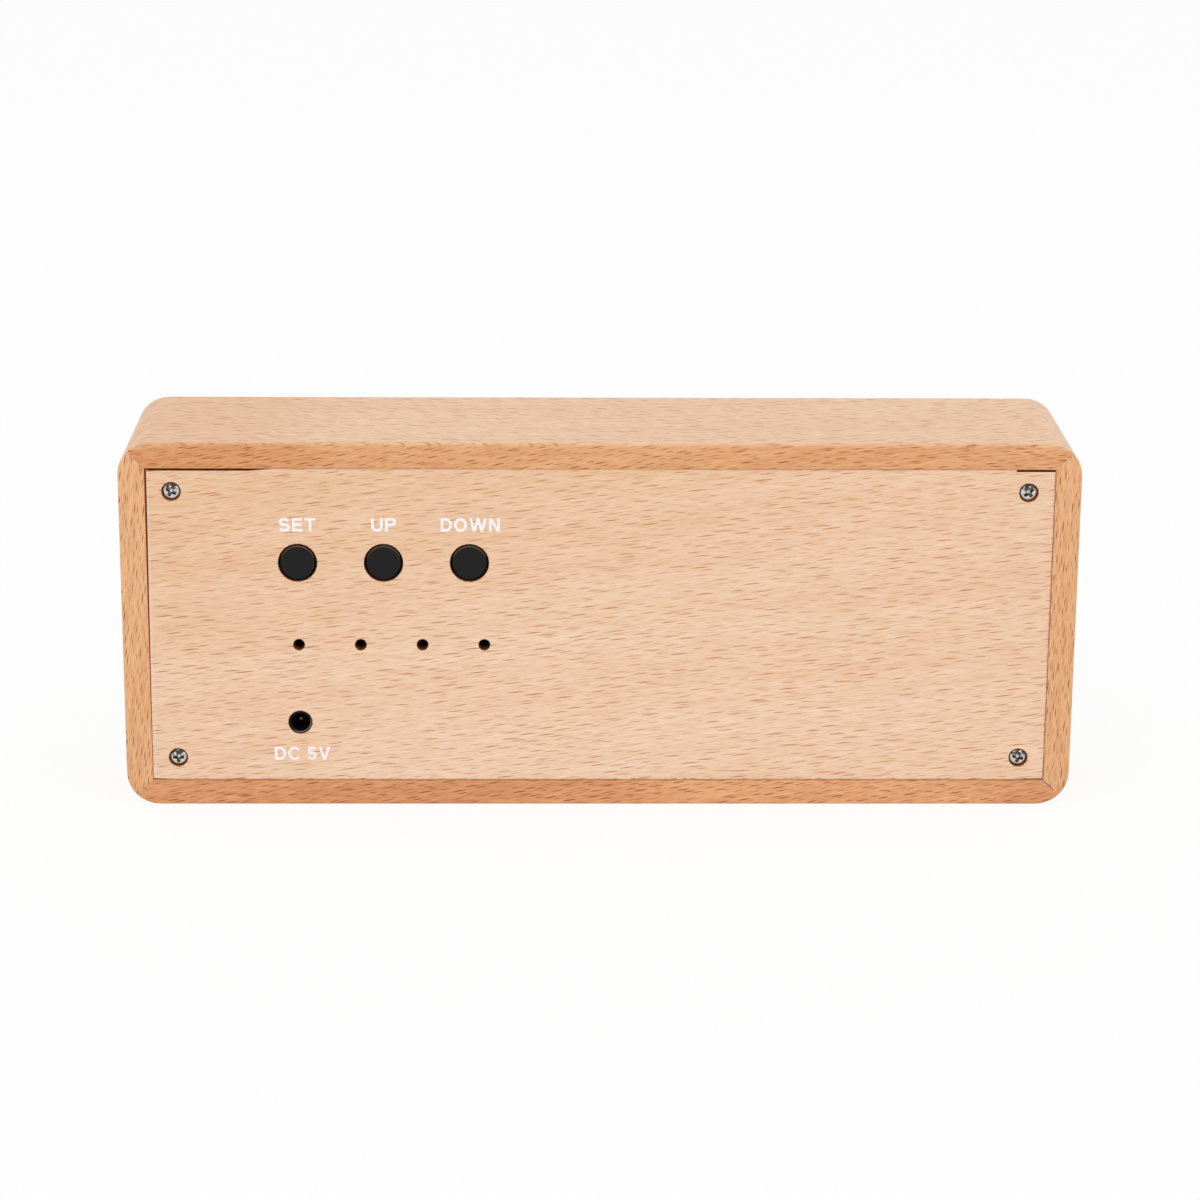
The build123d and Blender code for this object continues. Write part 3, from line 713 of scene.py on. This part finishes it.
panel_left = panel.sum("SUBTRACT", 1000.0 * panel_high.x, panel_x)
panel_right = panel.sum("SUBTRACT", panel_x, 1000.0 * panel_low.x)
panel_foot = panel.sum("SUBTRACT", panel_z, 1000.0 * panel_low.z)
panel_rim = panel.sum("MINIMUM", panel.sum("MINIMUM", panel_left, panel_right), panel_foot)
saw_marks = panel.noise(panel.move("DIVIDE", panel.spot, (1.5, 1.5, 0.35)), 2.0)
burn_width = panel.step(saw_marks, 0.45, 0.75, 0.06, 0.4)
saw_burn = panel.step(panel.sum("DIVIDE", panel_rim, burn_width), 1.0, 0.5)
# A pale highlight is painted in a strip along the panel's left edge.
panel_wood = panel.blend(panel.step(panel_left, 1.0, 0.55, 0.0, 0.25), panel_wood, painted_edge_highlight)
panel_wood = panel.blend(panel.sum("MULTIPLY", saw_burn, 0.7), panel_wood, burnt_edge)
panel.set("Base Color", panel_wood)
panel.sanded(panel_fibre, panel_rays, 0.4, 0.52)
dress(panel, "back_panel")


# The three buttons are moulded caps of black plastic. A flange keeps each one behind the
# panel, and its face is very slightly dished.

button_edge = 0.00018
button_dish = 0.00008
button_flange_width = 0.00155
button_flange_thickness = 0.0008
button_face_steps = (0, 0.4, 0.7, 0.9)

button_black = moulded("button_black", linear(16, 15, 16), 0.4, 0.1)
button_black.set("Specular IOR Level", 0.16)
# A brownish highlight is painted on the upper side of each cap's rounded edge, where it faces up.
button_lit = button_black.step(button_black.facing("Z"), 0.1, 0.4, 0.0, 0.9)
button_black.set("Base Color", button_black.blend(button_lit, button_black.base(), linear(124, 96, 76)))
for key in keys:
    low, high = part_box(key + "_button")
    flange = (high.x - low.x) / 2
    cap = flange - button_flange_width
    x = (low.x + high.x) / 2
    z = (low.z + high.z) / 2
    profile = [((cap - button_edge) * share, high.y - button_dish * (1 - share ** 2))
               for share in button_face_steps]
    profile += [(cap - button_edge * (1 - sin(turn)), high.y - button_edge * (1 - cos(turn)))
                for turn in (radians(angle) for angle in range(0, 91, 15))]
    shoulder = low.y + button_flange_thickness
    profile += [(cap, shoulder), (flange, shoulder), (flange, low.y), (0, low.y)]
    cap_piece = turned(key + "_cap", x, z, profile)
    cap_piece.data.materials.append(button_black.material)
    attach(cap_piece, key + "_key")
    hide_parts(key + "_button")


# Four nickel-plated cross-head screws hold the back panel, and two plain ones hold the key
# board. Shade is painted into the cross of each head except at its middle, and dark
# reflections are painted in patches over the upper part of each head.

head_rise = 0.35
head_spread = 1000.0 * (screws_high.x - screws_low.x) / 2 - screw_head_radius
head_height = 1000.0 * (screws_high.z - screws_low.z) / 2 - screw_head_radius
head_middle = 500.0 * (screws_high.z + screws_low.z)

dress(sheet_metal("nickel_plate", linear(206, 204, 200), 0.24, 0.3), "key_screws")

shaded_head = sheet_metal("nickel_painted_shade", linear(228, 224, 218), 0.2, 0.3)
head_x, head_y, head_z = shaded_head.axes(shaded_head.millimetres())
head_x = shaded_head.sum("SUBTRACT", shaded_head.sum("ABSOLUTE", head_x), head_spread)
over_middle = shaded_head.sum("SUBTRACT", head_z, head_middle)
head_z = shaded_head.sum("SUBTRACT", shaded_head.sum("ABSOLUTE", over_middle), head_height)
head_upward = shaded_head.sum("MULTIPLY", head_z, shaded_head.sum("SIGN", over_middle))
# Painted dark reflections: patches of near black, mostly on the upper part of each head.
painted_dark_reflections = shaded_head.step(shaded_head.cloud(0.6, 3.0), 0.36, 0.5)
painted_dark_reflections = shaded_head.sum("MULTIPLY", painted_dark_reflections, shaded_head.step(head_upward, 0.1, 1.0, 0.15, 0.95))
head_spot = shaded_head.move("DIVIDE", shaded_head.point(head_x, 0.0, head_z), (screw_head_radius,) * 3)
from_axis = shaded_head.measure("DOT_PRODUCT", head_spot, head_spot)
sunk = shaded_head.sum("SUBTRACT", 1000.0 * screws_high.y, head_y)
sunk = shaded_head.sum("SUBTRACT", sunk, shaded_head.sum("MULTIPLY", from_axis, head_rise))
# Painted shade in the recess of the cross; its middle is left bare so the plated floor's own reflection
# shows.
painted_recess_shade = shaded_head.step(sunk, 0.04, 0.14, 0.0, 0.9)
painted_recess_shade = shaded_head.sum("MULTIPLY", painted_recess_shade, shaded_head.step(from_axis, 0.015, 0.06))
nickel_with_reflections = shaded_head.blend(painted_dark_reflections, shaded_head.base(), linear(52, 43, 37))
shaded_head.set("Base Color", shaded_head.blend(painted_recess_shade, nickel_with_reflections, linear(78, 68, 62)))
dress(shaded_head, "back_screws")


# White words printed on the panel say what each button does and what the socket takes.
# The ink is thin, so the wood's grain shows faintly through it.

ink_thickness = 0.00003
label_height = 2.92
letter_gap = 0.15
pen = 0.195
arc_step = 10
sharpest_turn = 0.6
labels = (
    ("SET", 63.05, 60.0, 7.7),
    ("UP", 45.1, 60.0, 5.2),
    ("DOWN", 27.1, 60.0, 12.3),
    ("DC 5V", 62.75, 9.9, 11.75))


def arc(x, y, wide, high, start, end):
    """Points round an oval from one angle to another, in degrees."""
    count = max(2, round(abs(end - start) / arc_step))
    turns = [radians(start + (end - start) * i / count) for i in range(count + 1)]
    return [(x + wide * cos(turn), y + high * sin(turn)) for turn in turns]


# Each letter is its width and the lines of the pen, in shares of the letters' height
edge = pen / 2
top = 1 - edge
stem = [(edge, 0), (edge, 1)]
upper_bowl = arc(0.41, 0.7025, 0.3, 0.2025, 20, 270)
lower_bowl = arc(0.41, 0.2975, 0.315, 0.2025, 90, -160)
loop = [(edge, top)] + arc(0.44, 0.7, 0.235, 0.205, 90, -90) + [(edge, 0.495)]
bow = [(edge, top)] + arc(0.38, 0.5, 0.345, 0.405, 90, -90) + [(edge, edge)]
cup = [(edge, 1)] + arc(0.4, 0.395, 0.305, 0.3, 180, 360) + [(0.8 - edge, 1)]
belly = arc(0.325, 0.325, 0.24, 0.2275, 140, -152)
arms = ((top, 0.71), (0.52, 0.67), (edge, 0.73))
zigzag = [(0.1, 1), (0.37, 0), (0.65, 1), (0.93, 0), (1.2, 1)]
letters = {
    "S": (0.82, [upper_bowl + lower_bowl]),
    "E": (0.73, [stem] + [[(edge, y), (end, y)] for y, end in arms]),
    "T": (0.8, [[(0, top), (0.8, top)], [(0.4, 0), (0.4, top)]]),
    "U": (0.8, [cup]),
    "P": (0.77, [stem, loop]),
    "D": (0.82, [stem, bow]),
    "O": (0.96, [arc(0.48, 0.5, 0.385, 0.41, 0, 360)]),
    "W": (1.3, [list(slant) for slant in zip(zigzag, zigzag[1:])]),
    "N": (0.8, [stem, [(edge, 1), (0.8 - edge, 0)], [(0.8 - edge, 0), (0.8 - edge, 1)]]),
    "C": (0.9, [arc(0.485, 0.5, 0.39, 0.41, 38, 322)]),
    "5": (0.66, [[(0.14, top), (0.61, top)], [(0.12, 0.46), (0.18, 1)], belly]),
    "V": (0.86, [[(0.1, 1), (0.43, 0)], [(0.76, 1), (0.43, 0)]]),
    " ": (0.2, []),
}


def pen_line(points):
    """The two edges of a line drawn with the pen. A slanted stroke ends level."""
    steps = [(b[0] - a[0], b[1] - a[1]) for a, b in zip(points, points[1:])]
    if len(steps) == 1 and steps[0][0] and steps[0][1]:
        half = edge * Vector(steps[0]).length / steps[0][1]
        return [((x - half, y), (x + half, y)) for x, y in points]
    sides = []
    for i, (x, y) in enumerate(points):
        before = Vector(steps[max(i - 1, 0)]).normalized()
        after = Vector(steps[min(i, len(steps) - 1)]).normalized()
        way = (before + after).normalized()
        half = edge / max(way.dot(before), sharpest_turn)
        sides.append(((x - way.y * half, y + way.x * half), (x + way.y * half, y - way.x * half)))
    return sides


ink = Beech("label_ink", *panel_growth, 0.55)
ink_share = ink.sum("MULTIPLY", ink.rays(*sheet_rays), 0.3)
ink.set("Base Color", ink.blend(ink_share, linear(243, 238, 241), linear(232, 214, 204)))


def print_label(words, middle, base, width):
    """Words laid flat on the panel, read from behind the clock."""
    length = sum(letters[letter][0] + letter_gap for letter in words) - letter_gap
    points = []
    patches = []
    start = 0
    for letter in words:
        for line in letters[letter][1]:
            first = len(points)
            points += [Vector((start + x, y)) for side in pen_line(line) for x, y in side]
            patches += [(i, i + 1, i + 3, i + 2) for i in range(first, len(points) - 2, 2)]
        start += letters[letter][0] + letter_gap
    strokes = [[points[i] for i in patch] for patch in patches]
    points, _, faces, *_ = delaunay_2d_cdt(points, [], patches, 0, 0.0001)

    def inked(face):
        centre = sum((points[i] for i in face), Vector((0, 0))) / len(face)
        return any(intersect_point_quad_2d(centre, *stroke) for stroke in strokes)

    shape = bmesh.new()
    corners = [shape.verts.new((
        (middle - (point.x / length - 0.5) * width) / 1000,
        panel_high.y,
        (base + point.y * label_height) / 1000)) for point in points]
    flat = [shape.faces.new([corners[i] for i in face]) for face in faces if inked(face)]
    loose = [corner for corner in corners if not corner.link_faces]
    bmesh.ops.delete(shape, geom=loose, context="VERTS")
    front = bmesh.ops.extrude_face_region(shape, geom=flat)["geom"]
    raised = [part for part in front if isinstance(part, bmesh.types.BMVert)]
    bmesh.ops.translate(shape, verts=raised, vec=(0, ink_thickness, 0))
    bmesh.ops.recalc_face_normals(shape, faces=shape.faces)
    mesh = bpy.data.meshes.new("label")
    shape.to_mesh(mesh)
    shape.free()
    mesh.materials.append(ink.material)
    piece = bpy.data.objects.new("label_" + words.lower().replace(" ", "_"), mesh)
    bpy.context.scene.collection.objects.link(piece)
    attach(piece, "case")


for label in labels:
    print_label(*label)


# The studio: a white floor with a soft shadow, a white room, two large lamps behind the
# clock and the camera where the picture was taken.

floor_reach = 4
room_level = 0.82
lamp_size = 1.2
lamp_aim = Vector((0, 0, 0.04))
lamps = (("key_lamp", (0.7, 1.0, 1.1), 5.5), ("fill_lamp", (-0.9, 0.8, 0.9), 3.5))

floor_mesh = bpy.data.meshes.new("floor")
floor_corners = [(floor_reach * x, floor_reach * y, 0) for x, y in ((-1, -1), (1, -1), (1, 1), (-1, 1))]
floor_mesh.from_pydata(floor_corners, [], [(0, 1, 2, 3)])
floor = bpy.data.objects.new("floor", floor_mesh)
bpy.context.scene.collection.objects.link(floor)


def seen_share(tree):
    """1 for rays that show the room itself, 0 for rays that only light the object."""
    path = tree.nodes.new("ShaderNodeLightPath")
    share = path.outputs["Is Camera Ray"]
    for ray in ("Is Glossy Ray", "Is Transmission Ray"):
        either = tree.nodes.new("ShaderNodeMath")
        either.operation = "MAXIMUM"
        tree.links.new(share, either.inputs[0])
        tree.links.new(path.outputs[ray], either.inputs[1])
        share = either.outputs[0]
    return share


floor_finish = Finish("white_floor", 1.0, Specular_IOR_Level=0.0)
floor_finish.set("Base Color", (0.9, 0.9, 0.9, 1.0))
floor_white = floor_finish.add("ShaderNodeEmission", (1.0, 1.0, 1.0, 1.0), 1.0)
floor_share = floor_finish.sum("MULTIPLY", seen_share(floor_finish.tree), 0.9)
floor_mix = floor_finish.add(
    "ShaderNodeMixShader", floor_share, floor_finish.surface.outputs[0], floor_white.outputs[0])
floor_output = floor_finish.tree.nodes["Material Output"]
floor_finish.feed(floor_output.inputs["Surface"], floor_mix.outputs[0])
floor_mesh.materials.append(floor_finish.material)

world = bpy.data.worlds.new("white_room")
bpy.context.scene.world = world
world.use_nodes = True
room = world.node_tree
room_glow = room.nodes["Background"]
room_glow.inputs["Color"].default_value = (1.0, 1.0, 1.0, 1.0)
room_strength = room.nodes.new("ShaderNodeMapRange")
room_strength.inputs["To Min"].default_value = room_level
room_strength.inputs["To Max"].default_value = 1.0
room.links.new(seen_share(room), room_strength.inputs["Value"])
room.links.new(room_strength.outputs[0], room_glow.inputs["Strength"])

for name, place, power in lamps:
    lamp = bpy.data.lights.new(name, "AREA")
    lamp.size = lamp_size
    lamp.energy = power
    lamp_object = bpy.data.objects.new(name, lamp)
    lamp_object.location = place
    lamp_object.rotation_euler = (lamp_aim - Vector(place)).to_track_quat("-Z", "Y").to_euler()
    bpy.context.scene.collection.objects.link(lamp_object)

camera_place = (0.01377, 0.73995, 0.25667)
camera_yaw = 0.0191
camera_pitch = 0.2859
camera_roll = 0.0065
camera = bpy.data.cameras.new("camera")
camera.lens = 107.48
camera.sensor_width = 36.0
camera_object = bpy.data.objects.new("camera", camera)
camera_object.matrix_world = (
    Matrix.Translation(camera_place)
    @ Matrix.Rotation(pi - camera_yaw, 4, "Z")
    @ Matrix.Rotation(pi / 2 - camera_pitch, 4, "X")
    @ Matrix.Rotation(camera_roll, 4, "Z"))
bpy.context.scene.collection.objects.link(camera_object)
bpy.context.scene.camera = camera_object
bpy.context.scene.view_settings.view_transform = "Standard"
